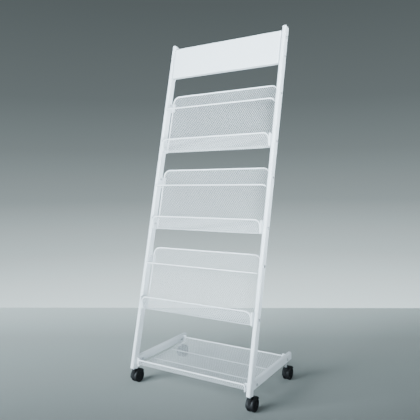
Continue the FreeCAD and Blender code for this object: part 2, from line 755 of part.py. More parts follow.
def main():
    """Write every node."""
    os.makedirs("parts", exist_ok=True)
    for name, side in SIDES.items():
        write(name + "_post", post(side))
        write(name + "_post_cap", post_cap(side))
        write(name + "_foot_plug", foot_plug(side))
        write(name + "_side_rail", side_rail(side))
    write("header_panel", header_panel())
    write("header_bolts", header_bolts())
    write_shelves()
    write("rail_end_caps", rail_end_caps())
    write("rear_caster_sockets", rear_caster_sockets())
    write("tray_mesh", tray_mesh())
    write("tray_front_rim", tray_rim(TRAY_FRONT, TRAY_FRONT_TOP))
    write("tray_rear_rim", tray_rim(TRAY_REAR, TRAY_REAR_TOP))
    write("tray_side_wires", tray_side_wires())
    write("tray_cross_wires", tray_cross_wires())
    write("tray_corner_brackets", tray_corner_brackets())
    write("tray_bolts", tray_bolts())
    write_casters()


main()
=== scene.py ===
import json
import math

import bmesh
import bpy
from mathutils import Matrix, Vector, noise


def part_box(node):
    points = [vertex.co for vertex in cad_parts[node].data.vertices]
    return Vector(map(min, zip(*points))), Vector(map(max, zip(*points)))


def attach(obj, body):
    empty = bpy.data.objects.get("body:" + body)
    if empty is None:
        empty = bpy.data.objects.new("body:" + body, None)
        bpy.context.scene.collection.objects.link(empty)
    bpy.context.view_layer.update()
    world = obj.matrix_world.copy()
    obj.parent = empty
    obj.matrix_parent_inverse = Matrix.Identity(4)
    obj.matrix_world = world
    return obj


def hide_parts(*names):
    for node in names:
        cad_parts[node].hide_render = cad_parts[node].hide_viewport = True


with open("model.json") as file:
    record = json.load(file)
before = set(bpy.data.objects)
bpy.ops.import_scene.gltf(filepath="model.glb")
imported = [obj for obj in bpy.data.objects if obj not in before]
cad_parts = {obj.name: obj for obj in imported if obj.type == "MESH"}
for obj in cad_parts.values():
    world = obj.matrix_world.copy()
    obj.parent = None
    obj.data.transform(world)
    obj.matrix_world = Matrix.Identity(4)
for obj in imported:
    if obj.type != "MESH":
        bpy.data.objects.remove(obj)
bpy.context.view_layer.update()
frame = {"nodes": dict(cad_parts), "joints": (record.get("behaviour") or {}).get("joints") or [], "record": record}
record = frame["record"]
nodes = frame["nodes"]

# Camera, fitted to the rack's posts: place in metres, angles in degrees
CAMERA_PLACE = (0.9360, -1.5414, 0.7516)
CAMERA_YAW = -31.34
CAMERA_PITCH = 3.24
CAMERA_ROLL = -0.55
CAMERA_LENS = 41.54
CAMERA_SENSOR = 36.0

# Degrees: an edge sharper than this isn't shaded smooth
WIRE_EDGE = 40
WELD_EDGE = 60
TURNED_EDGE = 35

# Distances, in metres, below which two points or the ends of an edge are one
SAME_PLACE = 1e-6
NO_LENGTH = 1e-7

# Expanded metal, in metres. A cell is one opening wide and long, from knot to knot
CELL_WIDTH = 0.0078
CELL_LENGTH = 0.0116
STRAND_THICKNESS = 0.0006
STRAND_RAISE = 0.0004
SHEET_BEND = 0.003
PANEL_CORNER = 0.025
LIP_CORNER = 0.020
# Half an opening, and half its blunt tip, as shares of half a cell
OPENING = 0.885
OPENING_TIP = 0.08
# Straight cuts that make a rounded corner, and half cells beyond the edge before the cut
CORNER_CUTS = 5
LATTICE_MARGIN = 2

# Wires: bends in metres, and an end's dome as a share of the radius
BAR_BEND = 0.009
TRAY_RIM_BEND = 0.006
WIRE_DOME = 0.25
WIRE_SIDES = 16
BEND_STEPS = 8

# Beads between rail and post: radius in metres, ripple as a share of it, steps in all and to
# a ripple, and the degrees of the rail's round edge left free at each end
BEAD_RADIUS = 0.0014
BEAD_RIPPLE = 0.10
BEAD_STEPS = 48
BEAD_RIPPLE_STEPS = 4
BEAD_ENDS = 6.0

# Spot welds between wires, in metres: half the size along and across the wires' common
# axis, and the unevenness. The grain is in noise cells per metre
SPOT_FLAT = 0.0014
SPOT_REACH = 0.0031
SPOT_ROUGHNESS = 0.0005
SPOT_GRAIN = 700.0
SPOT_SUBDIVISIONS = 3

# Screws and nuts, in metres
SCREW_RADIUS = 0.0025
SCREW_PITCH = 0.0008
SCREW_THREAD = 0.00035
SCREW_HEAD_HEIGHT = 0.0027
SCREW_SOCKET = 0.0015
SCREW_SOCKET_DEPTH = 0.0015
NUT_FLAT = 0.0040
NUT_CHAMFER = 0.0004
# Flat rim's radius over the socket's, the head's straight edge as a share of its height, and
# the nut's turned face as a share of its width across flats
SCREW_RIM = 1.25
SCREW_HEAD_EDGE = 0.12
NUT_FACE = 0.97
SCREW_STEPS = 36
SCREW_DOME_STEPS = 6

# Wheels, in metres
LATHE_STEPS = 64
WHEEL_SHOULDER = 0.0025
WHEEL_SHOULDER_STEPS = 6
WHEEL_GROOVE = 0.0004
WHEEL_GROOVES = (1 / 3, 2 / 3)
AXLE_BORE = 0.00305
# Outer face from the axis outwards: cap, ring groove and dish. (radius, depth)
WHEEL_FACE = (
    (0, 0.0002),
    (0.0030, 0.0003),
    (0.0042, 0.0008),
    (0.0046, 0.0016),
    (0.0054, 0.0016),
    (0.0058, 0.0005),
    (0.0068, 0.0005),
    (0.0074, 0.0020),
    (0.0164, 0.0020),
    (0.0172, 0.0003),
    (0.0180, 0),
)
# Inner face from the tread inwards: hollow, hub and axle hole. (radius, depth)
WHEEL_BACK = (
    (0.0206, 0),
    (0.0200, 0.0006),
    (0.0198, 0.0055),
    (0.0072, 0.0055),
    (0.0070, 0),
    (AXLE_BORE, 0),
    (AXLE_BORE, 0.0089),
    (0, 0.0089),
)
# Ribs in the dish: where each starts and ends, and its section as (half width, depth)
WHEEL_SPOKES = 6
SPOKE_ENDS = (0.0070, 0.0168)
SPOKE_FOOT = (0.0009, 0.0024)
SPOKE_CREST = (0.0006, 0.0009)

# Hoods, in metres. The fender's ends are in degrees round the axle, from the rear over the top
FENDER_INNER = 0.0253
FENDER_OUTER = 0.0275
FENDER_REAR = 30.0
FENDER_FRONT = 188.0
# Rounded edge at the fender's sides: (below the outside, in from the side)
FENDER_EDGE = ((0.0013, 0), (0.0007, 0.0003), (0.0003, 0.0010), (0, 0.0050))
HOOD_WEB = 0.0046
HOOD_WEB_RADIUS = 0.0215
HOOD_WEB_OVERLAP = 0.001
HOOD_WEB_CHAMFER = 0.0005
BOSS_RADIUS = 0.0070
BOSS_FILLET = 0.0010
BOSS_FILLET_STEPS = 4
# Least height of the boss's foot above the axle
BOSS_FOOT = 0.0030
STEM_BORE = 0.00405
STEM_CHAMFER = 0.0004
STEM_DEPTH = 0.0090

SHELVES = ("lower", "middle", "top")
SIDES = {"left": -1, "right": 1}
ENDS = ("front", "rear")

# The posts' direction comes from the header face's normal
sign_normal = record["mounts"][0]["axis"]
LEAN = math.atan2(sign_normal[2], -sign_normal[1])


def upright_points(node):
    """A node's vertices in the posts' frame: x across, y behind, z along the post."""
    turn = Matrix.Rotation(LEAN, 4, "X")
    return [turn @ v.co for v in nodes[node].data.vertices]


def low_high(points):
    """Lowest and highest corner of some points."""
    low = Vector(min(p[axis] for p in points) for axis in range(3))
    high = Vector(max(p[axis] for p in points) for axis in range(3))
    return low, high


POST_FOOT = low_high(upright_points("left_post"))[0]
POST_FRAME = Matrix.Rotation(-LEAN, 4, "X") @ Matrix.Translation((0, POST_FOOT.y, POST_FOOT.z))


def leaning_points(node):
    """A node's vertices measured from the posts' front face and foot."""
    return [p - Vector((0, POST_FOOT.y, POST_FOOT.z)) for p in upright_points(node)]


# ---------------------------------------------------------------- mesh helpers


def new_object(name, data):
    """New object in the scene."""
    thing = bpy.data.objects.new(name, data)
    bpy.context.scene.collection.objects.link(thing)
    return thing


def piece_from_bmesh(name, bm):
    """New object from a bmesh, which is freed."""
    mesh = bpy.data.meshes.new(name)
    bm.to_mesh(mesh)
    bm.free()
    return new_object(name, mesh)


def smooth(piece, angle):
    """Smooth shading, except across edges sharper than angle."""
    piece.data.shade_smooth()
    piece.data.set_sharp_from_angle(angle=math.radians(angle))


def rounded_path(points, bend):
    """Points of a polyline whose corners are arcs of radius bend."""
    line = [Vector(p) for p in points]
    path = [line[0]]
    for before, corner, after in zip(line, line[1:], line[2:]):
        into = (corner - before).normalized()
        out = (after - corner).normalized()
        turn = into.angle(out)
        reach = bend * math.tan(turn / 2)
        centre = corner + (out - into).normalized() * (bend / math.cos(turn / 2))
        start = corner - into * reach - centre
        axis = into.cross(out)
        for step in range(BEND_STEPS + 1):
            path.append(centre + Matrix.Rotation(turn * step / BEND_STEPS, 3, axis) @ start)
    path.append(line[-1])
    return path


def ring_faces(bm, first, second):
    """Band of faces between two rings of vertices."""
    for index in range(len(first)):
        after = (index + 1) % len(first)
        bm.faces.new((first[index], first[after], second[after], second[index]))


def add_tube(bm, path, radius, ripple=0.0):
    """Round bar with slightly domed ends along a path, its radius rippled along the way."""
    tangents = []
    for index in range(len(path)):
        before = path[max(index - 1, 0)]
        after = path[min(index + 1, len(path) - 1)]
        tangents.append((after - before).normalized())
    across = tangents[0].orthogonal().normalized()
    rings = []
    for index, (point, tangent) in enumerate(zip(path, tangents)):
        across = (across - tangent * across.dot(tangent)).normalized()
        other = tangent.cross(across)
        reach = radius * (1 + ripple * math.cos(2 * math.pi * index / BEAD_RIPPLE_STEPS))
        ring = []
        for side in range(WIRE_SIDES):
            angle = 2 * math.pi * side / WIRE_SIDES
            spoke = across * math.cos(angle) + other * math.sin(angle)
            ring.append(bm.verts.new(point + spoke * reach))
        rings.append(ring)
    for first, second in zip(rings, rings[1:]):
        ring_faces(bm, first, second)
    ends = ((rings[0], path[0], -tangents[0]), (rings[-1], path[-1], tangents[-1]))
    for ring, centre, outward in ends:
        tip = bm.verts.new(centre + outward * radius * WIRE_DOME)
        for side in range(WIRE_SIDES):
            after = (side + 1) % WIRE_SIDES
            pair = (ring[after], ring[side]) if ring is rings[0] else (ring[side], ring[after])
            bm.faces.new((*pair, tip))


# ---------------------------------------------------------------- expanded metal


def lattice(half_width, length, raised):
    """Flat expanded metal that overhangs the rectangle |x| < half_width, 0 < y < length.

    Each opening's far edge is raised by so much, and its near edge lowered, which tilts the
    strands.
    """
    bm = bmesh.new()
    half_cell_x = CELL_WIDTH / 2
    half_cell_y = CELL_LENGTH / 2
    columns = int(half_width / half_cell_x) + LATTICE_MARGIN
    rows = int(length / half_cell_y) + LATTICE_MARGIN
    tip = OPENING_TIP
    shoulder = OPENING - OPENING_TIP
    corners = (
        (OPENING, 0),
        (tip, shoulder),
        (-tip, shoulder),
        (-OPENING, 0),
        (-tip, -shoulder),
        (tip, -shoulder),
    )
    around = ((1, 0), (0, 1), (-1, 0), (0, -1))
    # Each strand: its two knots and the opening's two corners beside them
    strands = ((0, 1, 1, 0), (1, 2, 3, 2), (2, 3, 4, 3), (3, 0, 0, 5))
    knots = {}

    def knot(column, row, side):
        key = (column, row, side)
        if key not in knots:
            place = (column * half_cell_x, row * half_cell_y, side * STRAND_THICKNESS / 2)
            knots[key] = bm.verts.new(place)
        return knots[key]

    for row in range(-1, rows):
        for column in range(-columns, columns + 1):
            if (row + column) % 2:
                continue
            rims = {}
            for side in (-1, 1):
                rim = []
                for x, y in corners:
                    z = side * STRAND_THICKNESS / 2 + raised * y / OPENING
                    place = ((column + x) * half_cell_x, (row + y) * half_cell_y, z)
                    rim.append(bm.verts.new(place))
                rims[side] = rim
                ends = [knot(column + dx, row + dy, side) for dx, dy in around]
                for first, second, by_second, by_first in strands:
                    bm.faces.new((ends[first], ends[second], rim[by_second], rim[by_first]))
                bm.faces.new((ends[1], rim[2], rim[1]))
                bm.faces.new((ends[3], rim[5], rim[4]))
            ring_faces(bm, rims[1], rims[-1])
    return bm


def cut_away(bm, place, normal):
    """Cut a closed mesh by a plane, drop what lies beyond it and close the cut."""
    cut = bmesh.ops.bisect_plane(
        bm,
        geom=bm.verts[:] + bm.edges[:] + bm.faces[:],
        plane_co=place,
        plane_no=normal,
        clear_outer=True,
    )
    edges = [e for e in cut["geom_cut"] if isinstance(e, bmesh.types.BMEdge)]
    bmesh.ops.holes_fill(bm, edges=edges, sides=0)


def trim(bm, half_width, length, start_corner, end_corner):
    """Cut the lattice to a rectangle with rounded corners."""
    for x in (-1, 1):
        cut_away(bm, (x * half_width, 0, 0), (x, 0, 0))
    cut_away(bm, (0, 0, 0), (0, -1, 0))
    cut_away(bm, (0, length, 0), (0, 1, 0))
    ends = ((start_corner, start_corner, -1), (end_corner, length - end_corner, 1))
    for radius, centre_y, way in ends:
        if not radius:
            continue
        for x in (-1, 1):
            for number in range(CORNER_CUTS):
                angle = math.radians(90 * (number + 0.5) / CORNER_CUTS)
                normal = Vector((x * math.cos(angle), way * math.sin(angle), 0))
                centre = Vector((x * (half_width - radius), centre_y, 0))
                cut_away(bm, centre + normal * radius, normal)


def fold_map(profile):
    """Function from a length along a folded sheet to the place and normal there, and the
    sheet's whole length. The profile holds the (y, z) of its ends and of its sharp folds.
    """
    line = [Vector((0, y, z)) for y, z in profile]
    # Each span's length, its start and direction or its centre and first spoke, and the way
    # it turns: 0 where it is straight
    spans = []
    start = line[0]
    for before, corner, after in zip(line, line[1:], line[2:]):
        into = (corner - before).normalized()
        out = (after - corner).normalized()
        turn = into.angle(out)
        way = math.copysign(1, into.cross(out).x)
        reach = SHEET_BEND * math.tan(turn / 2)
        bend_start = corner - into * reach
        centre = corner + (out - into).normalized() * (SHEET_BEND / math.cos(turn / 2))
        spans.append(((bend_start - start).length, start, into, 0))
        spans.append((SHEET_BEND * turn, centre, bend_start - centre, way))
        start = corner + out * reach
    last = line[-1] - start
    spans.append((last.length, start, last.normalized(), 0))

    def place(length):
        for span, origin, first, way in spans[:-1]:
            if length <= span:
                break
            length -= span
        else:
            origin, first, way = spans[-1][1:]
        if not way:
            return origin + first * length, Vector((0, -first.z, first.y))
        spoke = Matrix.Rotation(way * length / SHEET_BEND, 3, "X") @ first
        return origin + spoke, -spoke.normalized() * way

    return place, sum(span[0] for span in spans)


def expanded_sheet(name, half_width, profile, start_corner, end_corner, raised):
    """Folded sheet of expanded metal, its fold lines along X."""
    place, length = fold_map(profile)
    bm = lattice(half_width, length, raised)
    trim(bm, half_width, length, start_corner, end_corner)
    for v in bm.verts:
        spot, normal = place(min(max(v.co.y, 0), length))
        v.co = Vector((v.co.x, spot.y, spot.z)) + normal * v.co.z
    bmesh.ops.recalc_face_normals(bm, faces=bm.faces[:])
    return piece_from_bmesh(name, bm)


# ---------------------------------------------------------------- materials

# Colours
COAT_WHITE = (0.79, 0.815, 0.84)
MESH_WHITE = (0.82, 0.84, 0.86)
# Wires: the frame's white coat made paler, a painted highlight along the thin wires
WIRE_PAINTED_HIGHLIGHT_WHITE = (0.88, 0.90, 0.92)
CAP_WHITE = (0.80, 0.81, 0.82)
HOOD_BLACK = (0.009, 0.009, 0.010)
WHEEL_BLACK = (0.006, 0.006, 0.007)
ZINC_DARK = (0.42, 0.43, 0.45)
ZINC_PALE = (0.62, 0.63, 0.65)

# The middle part of a noise's range, which a ramp spreads between its two ends
NOISE_LOW = 0.3
NOISE_HIGH = 0.7
NOISE_DETAIL = 3.0
PEEL_DETAIL = 2.0


def new_material(name):
    """New material, its node tree and its Principled shader."""
    material = bpy.data.materials.new(name)
    material.use_nodes = True
    tree = material.node_tree
    return material, tree, tree.nodes["Principled BSDF"]


def darker(colour, share):
    """A colour scaled down to a share of itself."""
    return tuple(part * share for part in colour)


def add_noise(tree, scale, detail=NOISE_DETAIL):
    """Noise in the object's own coordinates, scale being in cells per metre."""
    place = tree.nodes.new("ShaderNodeTexCoord")
    texture = tree.nodes.new("ShaderNodeTexNoise")
    texture.inputs["Scale"].default_value = scale
    texture.inputs["Detail"].default_value = detail
    tree.links.new(place.outputs["Object"], texture.inputs["Vector"])
    return texture.outputs["Fac"]


def add_ramp(tree, source, low, high, target):
    """Ramp from one colour to another, driven by source, into target."""
    ramp = tree.nodes.new("ShaderNodeValToRGB")
    stops = ramp.color_ramp.elements
    for stop, position, colour in zip(stops, (NOISE_LOW, NOISE_HIGH), (low, high)):
        stop.position = position
        stop.color = (*colour, 1)
    tree.links.new(source, ramp.inputs["Fac"])
    tree.links.new(ramp.outputs["Color"], target)


def add_tone(tree, principled, scale, low, high):
    """Colour that drifts between two tones."""
    add_ramp(tree, add_noise(tree, scale), low, high, principled.inputs["Base Color"])


def add_roughness(tree, principled, scale, low, high):
    """Roughness that varies between two values. Gives back the noise that drives it."""
    grain = add_noise(tree, scale)
    add_ramp(tree, grain, (low,) * 3, (high,) * 3, principled.inputs["Roughness"])
    return grain


def add_bump(tree, principled, source, strength, distance):
    """Bump from source on the shader's normal."""
    bump = tree.nodes.new("ShaderNodeBump")
    bump.inputs["Strength"].default_value = strength
    bump.inputs["Distance"].default_value = distance
    tree.links.new(source, bump.inputs["Height"])
    tree.links.new(bump.outputs["Normal"], principled.inputs["Normal"])


def powder_coat(name, colour, peel):
    """Satin powder coat: fine orange peel, and slight drift in tone and gloss."""
    material, tree, principled = new_material(name)
    add_tone(tree, principled, scale=9.0, low=darker(colour, 0.965), high=colour)
    add_roughness(tree, principled, scale=60.0, low=0.34, high=0.44)
    grain = add_noise(tree, scale=1400.0, detail=PEEL_DETAIL)
    add_bump(tree, principled, grain, strength=peel, distance=0.00006)
    return material


def plated_steel(name):
    """Zinc-plated steel: cool grey with fine turned grain."""
    material, tree, principled = new_material(name)
    principled.inputs["Metallic"].default_value = 1.0
    add_tone(tree, principled, scale=350.0, low=ZINC_DARK, high=ZINC_PALE)
    grain = add_roughness(tree, principled, scale=2600.0, low=0.28, high=0.45)
    add_bump(tree, principled, grain, strength=0.3, distance=0.00004)
    return material


def moulded_plastic(name, colour, low_rough, high_rough, gloss):
    """Moulded plastic with a fine matt grain."""
    material, tree, principled = new_material(name)
    principled.inputs["Specular IOR Level"].default_value = gloss
    add_tone(tree, principled, scale=40.0, low=darker(colour, 0.85), high=colour)
    grain = add_roughness(tree, principled, scale=900.0, low=low_rough, high=high_rough)
    add_bump(tree, principled, grain, strength=0.4, distance=0.00005)
    return material


tube_coat = powder_coat("tube_coat", COAT_WHITE, peel=0.25)
sheet_coat = powder_coat("sheet_coat", COAT_WHITE, peel=0.25)
mesh_coat = powder_coat("mesh_coat", MESH_WHITE, peel=0.15)
# Coat of the wires and spot welds, whose paler white is a painted highlight
wire_coat_painted_highlight = powder_coat("wire_coat_painted_highlight", WIRE_PAINTED_HIGHLIGHT_WHITE, peel=0.15)
zinc = plated_steel("zinc")
cap_plastic = moulded_plastic("cap_plastic", CAP_WHITE, 0.40, 0.55, gloss=0.5)
hood_plastic = moulded_plastic("hood_plastic", HOOD_BLACK, 0.46, 0.60, gloss=0.28)
wheel_plastic = moulded_plastic("wheel_plastic", WHEEL_BLACK, 0.50, 0.66, gloss=0.25)

MATERIAL_OF_SLOT = {
    "steel_tube": tube_coat,
    "sheet_steel": sheet_coat,
    "expanded_metal": mesh_coat,
    "round_wire": wire_coat_painted_highlight,
    "zinc_screws": zinc,
    "white_caps": cap_plastic,
    "caster_hoods": hood_plastic,
    "caster_wheels": wheel_plastic,
    "caster_steel": zinc,
}
SLOT_OF_NODE = {part["node"]: part["material_slot"] for part in record["subparts"]}


def paint(thing, material):
    """Give an object one material."""
    thing.data.materials.clear()
    thing.data.materials.append(material)


def body_of_node(node):
    """The body that a CAD node belongs to."""
    bodies = record["behaviour"]["bodies"]
    return next(body for body, members in bodies.items() if node in members)


def stand_for(piece, node):
    """Finish a piece that takes the place of a CAD node: its material, chosen by the node's slot, and its body."""
    slot = SLOT_OF_NODE[node]
    paint(piece, MATERIAL_OF_SLOT[slot])
    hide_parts(node)
    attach(piece, body_of_node(node))


def in_post_frame(piece):
    """Move a piece drawn along the posts into place."""
    piece.data.transform(POST_FRAME)


# ---------------------------------------------------------------- shelves

# Spot welds between wires: the place, and the axis along which the wires meet
weld_spots = []


def bridge(side_x, foot, top):
    """Corners of a wire that rises at the left, crosses and comes down at the right."""
    return [(-side_x, *foot), (-side_x, *top), (side_x, *top), (side_x, *foot)]


def wire_piece(name, node, runs, bend, radius, leaning=True):
    """Piece made of wires, each a polyline with rounded corners, that replaces a CAD node."""
    bm = bmesh.new()
    for points in runs:
        add_tube(bm, rounded_path(points, bend), radius)
    piece = piece_from_bmesh(name, bm)
    smooth(piece, WIRE_EDGE)
    if leaning:
        in_post_frame(piece)
    stand_for(piece, node)


def build_shelf(name):
    """Expanded sheet, rims and retaining bar of one shelf."""
    low, high = low_high(leaning_points(name + "_shelf_back_rim"))
    radius = (high.y - low.y) / 2
    side_x = high.x - radius
    panel_y = (low.y + high.y) / 2
    panel_foot = (panel_y, low.z)
    panel_top = (panel_y, high.z - radius)

    lip = leaning_points(name + "_shelf_lip_rim")
    lip_low, lip_high = low_high(lip)
    foot_ys = [p.y for p in lip if p.z < lip_low.z + radius]
    lip_foot = ((min(foot_ys) + max(foot_ys)) / 2, low.z)
    lip_top = (lip_low.y + radius, lip_high.z - radius)

    sheet = expanded_sheet(
        name + "_expanded_sheet",
        side_x,
        (panel_top, panel_foot, lip_foot, lip_top),
        start_corner=PANEL_CORNER,
        end_corner=LIP_CORNER,
        raised=STRAND_RAISE,
    )
    in_post_frame(sheet)
    stand_for(sheet, name + "_shelf_mesh")

    back = bridge(side_x, panel_foot, panel_top)
    wire_piece(name + "_back_rim_wire", name + "_shelf_back_rim", [back], PANEL_CORNER, radius)
    front = bridge(side_x, lip_foot, lip_top)
    wire_piece(name + "_lip_rim_wire", name + "_shelf_lip_rim", [front], LIP_CORNER, radius)

    bar_low, bar_high = low_high(leaning_points(name + "_retaining_bar"))
    bar_z = (bar_low.z + bar_high.z) / 2
    bar = bridge(side_x, (bar_high.y, bar_z), (bar_low.y + radius, bar_z))
    wire_piece(name + "_bar_wire", name + "_retaining_bar", [bar], BAR_BEND, radius)
    for x in (-side_x, side_x):
        weld_spots.append((POST_FRAME @ Vector((x, bar_high.y, bar_z)), 1))


for shelf in SHELVES:
    build_shelf(shelf)


# ---------------------------------------------------------------- tray


def cross_wire_places():
    """(y, z) of each wire across the tray, from front to back, and the wires' radius."""
    low, high = low_high([v.co for v in nodes["tray_cross_wires"].data.vertices])
    radius = (high.z - low.z) / 2
    z = (low.z + high.z) / 2
    return [(low.y + radius, z), (high.y - radius, z)], radius


def build_tray():
    """Expanded sheet and wires of the tray."""
    front_low, front_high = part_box("tray_front_rim")
    rear_low, rear_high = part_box("tray_rear_rim")
    side_low, side_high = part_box("tray_side_wires")
    radius = (front_high.y - front_low.y) / 2
    side_x = front_high.x - radius
    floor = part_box("tray_mesh")[0].z + STRAND_THICKNESS / 2
    cross, cross_radius = cross_wire_places()
    fold_y = cross[-1][0]
    front_top = (front_low.y + radius, front_high.z - radius)
    rear_top = (rear_low.y + radius, rear_high.z - radius)
    sheet = expanded_sheet(
        "tray_expanded_sheet",
        side_x,
        (front_top, (front_top[0], floor), (fold_y, floor), rear_top),
        start_corner=0,
        end_corner=0,
        raised=-STRAND_RAISE / 2,
    )
    stand_for(sheet, "tray_mesh")

    for name, top, foot_z in (
        ("tray_front_rim", front_top, front_low.z),
        ("tray_rear_rim", rear_top, rear_low.z),
    ):
        foot = (top[0], foot_z)
        run = bridge(side_x, foot, top)
        wire_piece(name + "_wire", name, [run], TRAY_RIM_BEND, radius, leaning=False)
        for x in (-side_x, side_x):
            weld_spots.append((Vector((x, *foot)), 2))

    side_z = (side_low.z + side_high.z) / 2
    runs = [[(x, side_low.y, side_z), (x, side_high.y, side_z)] for x in (side_x, -side_x)]
    wire_piece("tray_side_wire_pair", "tray_side_wires", runs, 0, radius, leaning=False)
    end_x = side_x - radius
    runs = [[(-end_x, *place), (end_x, *place)] for place in cross]
    wire_piece("tray_cross_wire_pair", "tray_cross_wires", runs, 0, cross_radius, leaning=False)
    for place in cross:
        for x in (-end_x, end_x):
            weld_spots.append((Vector((x, *place)), 0))


build_tray()


# ---------------------------------------------------------------- welds


def weld_piece(name, bm, slot):
    """Piece made of weld metal on the frame, coated like what it joins."""
    piece = piece_from_bmesh(name, bm)
    smooth(piece, WELD_EDGE)
    paint(piece, MATERIAL_OF_SLOT[slot])
    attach(piece, body_of_node("left_post"))


def build_wire_welds():
    """Small uneven spot where each pair of wires meets."""
    bm = bmesh.new()
    for place, axis in weld_spots:
        half_size = Vector(SPOT_FLAT if number == axis else SPOT_REACH for number in range(3))
        ball = bmesh.ops.create_icosphere(bm, subdivisions=SPOT_SUBDIVISIONS, radius=1.0)
        for v in ball["verts"]:
            spot = place + v.co * half_size
            v.co = spot + v.co * SPOT_ROUGHNESS * noise.noise(spot * SPOT_GRAIN)
    weld_piece("wire_spot_welds", bm, "round_wire")


def bead_path(centre_x, edge_z, nose, way, post_back):
    """Bead over a rail's edge, the upper for way 1 or the lower for -1, where it meets the
    post's rounded back. It takes both for half rounds of radius nose, which they nearly are,
    and post_back is the post's depth.
    """
    path = []
    for step in range(BEAD_STEPS + 1):
        angle = math.radians(BEAD_ENDS + (180 - 2 * BEAD_ENDS) * step / BEAD_STEPS)
        z = edge_z + way * nose * math.sin(angle)
        depth = post_back - nose + nose * math.sin(angle)
        along = (z - POST_FRAME.translation.z + depth * math.sin(LEAN)) / math.cos(LEAN)
        path.append(POST_FRAME @ Vector((centre_x + nose * math.cos(angle), depth, along)))
    return path


def build_rail_welds():
    """Bead over and under each side rail, where it meets the post."""
    bm = bmesh.new()
    for side in SIDES:
        rail_low, rail_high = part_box(side + "_side_rail")
        post_back = low_high(leaning_points(side + "_post"))[1].y
        centre_x = (rail_low.x + rail_high.x) / 2
        nose = (rail_high.x - rail_low.x) / 2
        for way, edge_z in ((-1, rail_low.z + nose), (1, rail_high.z - nose)):
            path = bead_path(centre_x, edge_z, nose, way, post_back)
            add_tube(bm, path, BEAD_RADIUS, BEAD_RIPPLE)
    weld_piece("rail_weld_beads", bm, "steel_tube")


build_wire_welds()
build_rail_welds()


# ---------------------------------------------------------------- turned parts


def hexagon_reach(flat, angle):
    """Distance from a hexagon's centre to its edge, flat being half its width across flats."""
    return flat / math.cos((angle + math.pi / 6) % (math.pi / 3) - math.pi / 6)


def quarter(steps):
    """Sine and cosine of the angles from 0 to 90 degrees."""
    angles = [math.radians(90 * step / steps) for step in range(steps + 1)]
    return [(math.sin(angle), math.cos(angle)) for angle in angles]


def lathe(bm, outline, centre, axis, across, start=0.0, sweep=360.0, steps=LATHE_STEPS):
    """Turned solid, or a sector of one. across points from the axis to the angle 0.

    The closed outline holds (radius, height) pairs, or triples ending in "hex" where the
    section is a hexagon.
    """
    full = sweep >= 360
    stations = steps if full else steps + 1
    rings = []
    for station in range(stations):
        angle = math.radians(start + sweep * station / steps)
        spoke = Matrix.Rotation(angle, 3, Vector(axis)) @ Vector(across)
        ring = []
        for radius, height, *kind in outline:
            reach = hexagon_reach(radius, angle) if kind else radius
            ring.append(bm.verts.new(Vector(centre) + spoke * reach + Vector(axis) * height))
        rings.append(ring)
    count = len(outline)
    for station in range(steps):
        first = rings[station]
        second = rings[(station + 1) % stations]
        for index in range(count):
            after = (index + 1) % count
            bm.faces.new((first[index], second[index], second[after], first[after]))
    if not full:
        bm.faces.new(rings[0])
        bm.faces.new(rings[-1][::-1])


def clean(bm):
    """Join doubled points, such as those on a lathe's axis, and turn all faces outwards."""
    bmesh.ops.remove_doubles(bm, verts=bm.verts[:], dist=SAME_PLACE)
    bmesh.ops.dissolve_degenerate(bm, edges=bm.edges[:], dist=NO_LENGTH)
    bmesh.ops.recalc_face_normals(bm, faces=bm.faces[:])


def loose_parts(node):
    """Box of each separate solid in a CAD node."""
    bm = bmesh.new()
    bm.from_mesh(nodes[node].data)
    bmesh.ops.remove_doubles(bm, verts=bm.verts[:], dist=SAME_PLACE)
    met = set()
    boxes = []
    for start in bm.verts:
        if start in met:
            continue
        met.add(start)
        found = [start]
        # The list grows while it is walked
        for v in found:
            for e in v.link_edges:
                other = e.other_vert(v)
                if other not in met:
                    met.add(other)
                    found.append(other)
        boxes.append(low_high([v.co for v in found]))
    bm.free()
    return boxes


# ---------------------------------------------------------------- screws


def add_screw(bm, seat, side, head, reach):
    """Button-head screw along X: domed head with a hexagonal socket, and a threaded shank."""
    rise = SCREW_HEAD_HEIGHT
    rim = SCREW_SOCKET * SCREW_RIM
    floor = rise - SCREW_SOCKET_DEPTH
    outline = [(0, floor), (SCREW_SOCKET, floor, "hex"), (SCREW_SOCKET, rise, "hex")]
    for sine, cosine in reversed(quarter(SCREW_DOME_STEPS)):
        height = rise * (SCREW_HEAD_EDGE + (1 - SCREW_HEAD_EDGE) * sine)
        outline.append((rim + (head - rim) * cosine, height))
    outline += [(head, 0), (SCREW_RADIUS, 0)]
    root = SCREW_RADIUS - SCREW_THREAD
    depth = 0
    while depth < reach - SCREW_PITCH:
        outline.append((SCREW_RADIUS, -depth))
        outline.append((root, -depth - SCREW_PITCH / 2))
        depth += SCREW_PITCH
    outline += [(SCREW_RADIUS, -depth), (root, -reach), (0, -reach)]
    lathe(bm, outline, seat, (side, 0, 0), (0, 0, 1), steps=SCREW_STEPS)


def add_nut(bm, low, high):
    """Hexagonal nut along X with turned corners."""
    half = (high.x - low.x) / 2
    flat = min((high.y - low.y) / 2, (high.z - low.z) / 2, NUT_FLAT)
    outline = [
        (SCREW_RADIUS, -half + NUT_CHAMFER),
        (SCREW_RADIUS + NUT_CHAMFER, -half),
        (flat * NUT_FACE, -half),
        (flat, -half + NUT_CHAMFER, "hex"),
        (flat, half - NUT_CHAMFER, "hex"),
        (flat * NUT_FACE, half),
        (SCREW_RADIUS + NUT_CHAMFER, half),
        (SCREW_RADIUS, half - NUT_CHAMFER),
    ]
    lathe(bm, outline, (low + high) / 2, (1, 0, 0), (0, 0, 1), steps=SCREW_STEPS)


